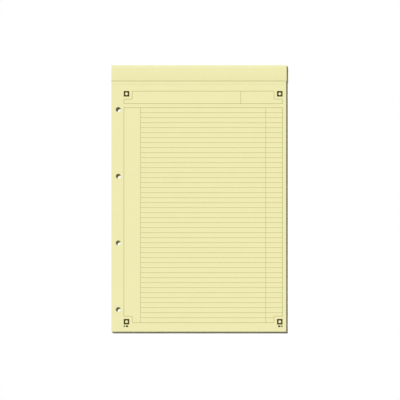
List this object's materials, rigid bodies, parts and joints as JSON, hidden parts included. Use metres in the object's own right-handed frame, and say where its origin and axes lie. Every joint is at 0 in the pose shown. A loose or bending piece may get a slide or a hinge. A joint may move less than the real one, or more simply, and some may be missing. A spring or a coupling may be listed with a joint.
{
  "type": "notepad",
  "caption": "Head-bound writing pad of ruled yellow sheets with a folded paper binding strip, a stiff back board, punched ring-binder holes and a tear-off perforation.",
  "frame": {"origin": "middle of the back, on the surface that the pad lies on", "axes": "+X across the page to the right, +Y up the page to the bound head, +Z out of the page"},
  "size_m": [0.2105, 0.3202, 0.0097],
  "materials": {
    "yellow_paper": "matte",
    "greyboard": "matte",
    "strip_paper": "matte",
    "staple_wire": "satin",
    "ruling_ink": "matte",
    "mark_ink": "matte"
  },
  "bodies": {
    "root": {"sheet_block": "yellow_paper", "backing_board": "greyboard", "binding_strip": "strip_paper", "staples": "staple_wire", "printed_ruling": "ruling_ink", "corner_marks": "mark_ink"}
  },
  "joints": []
}
